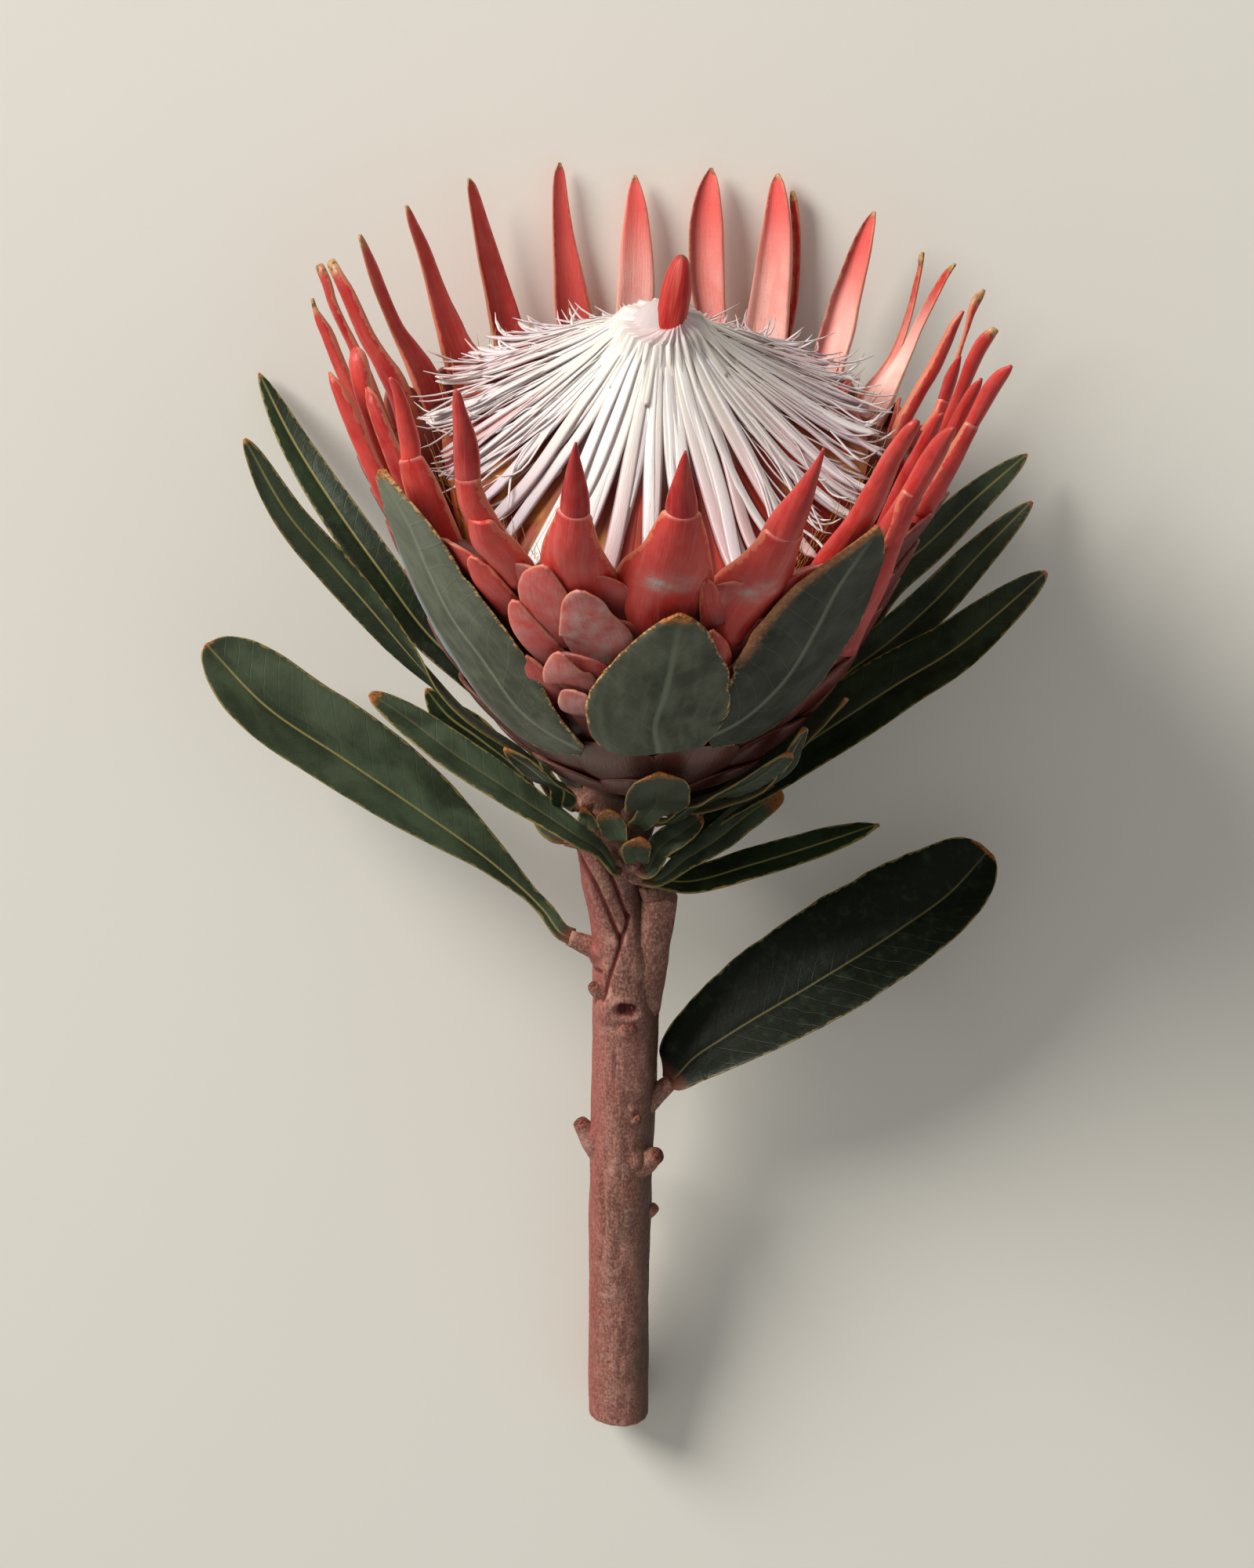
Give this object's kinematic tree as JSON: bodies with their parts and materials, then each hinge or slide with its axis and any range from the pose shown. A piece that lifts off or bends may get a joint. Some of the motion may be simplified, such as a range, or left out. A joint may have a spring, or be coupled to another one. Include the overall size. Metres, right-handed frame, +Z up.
{
  "type": "protea flower",
  "caption": "Cut protea flower lying on a surface: a cup of pointed red bracts round a dome of white ribbon florets, with grey-green bracts, leathery leaves and a woody stem.",
  "frame": {"origin": "middle of the underside of the whole flower's box, on the surface that it lies on", "axes": "+Y along the lying flower from the cut end of the stem towards the open head, +Z up from the surface, +X to the right when the head points away"},
  "size_m": [0.182, 0.2796, 0.1355],
  "materials": {
    "bract_red": "satin coral-red bract",
    "core_red": "dark red florets",
    "strand_white": "silky white ribbon",
    "bract_grey_green": "matt grey-green with bloom",
    "leaf_green": "leathery dark green",
    "stem_bark": "mauve-brown speckled bark"
  },
  "bodies": {
    "root": {"bract_head": "bract_red", "floret_core": "core_red", "floret_strands": "strand_white", "stem": "stem_bark", "green_bract_left": "bract_grey_green", "green_bract_front": "bract_grey_green", "green_bract_right": "bract_grey_green", "green_bract_side_right": "bract_grey_green", "green_bract_side_left": "bract_grey_green", "green_bract_back": "bract_grey_green", "leaf_large_left": "leaf_green", "leaf_large_right": "leaf_green", "leaf_left_low": "leaf_green", "leaf_left_outer": "leaf_green", "leaf_left_upper": "leaf_green", "leaf_left_dark": "leaf_green", "leaf_left_short": "leaf_green", "leaf_right_upper": "leaf_green", "leaf_right_middle": "leaf_green", "leaf_right_outer": "leaf_green", "leaf_right_tucked": "leaf_green", "leaf_right_curled": "leaf_green", "leaf_right_spoon": "leaf_green", "leaf_shoot_front": "leaf_green", "leaf_shoot_long": "leaf_green", "leaf_blunt_small": "leaf_green", "leaf_back_left": "leaf_green", "leaf_back_right": "leaf_green", "leaf_under_left": "leaf_green", "leaf_under_right": "leaf_green", "leaf_under_middle": "leaf_green", "small_bract_broad": "leaf_green", "small_bract_grey": "leaf_green", "small_bract_brown": "leaf_green", "small_bract_pale": "leaf_green"}
  },
  "joints": []
}
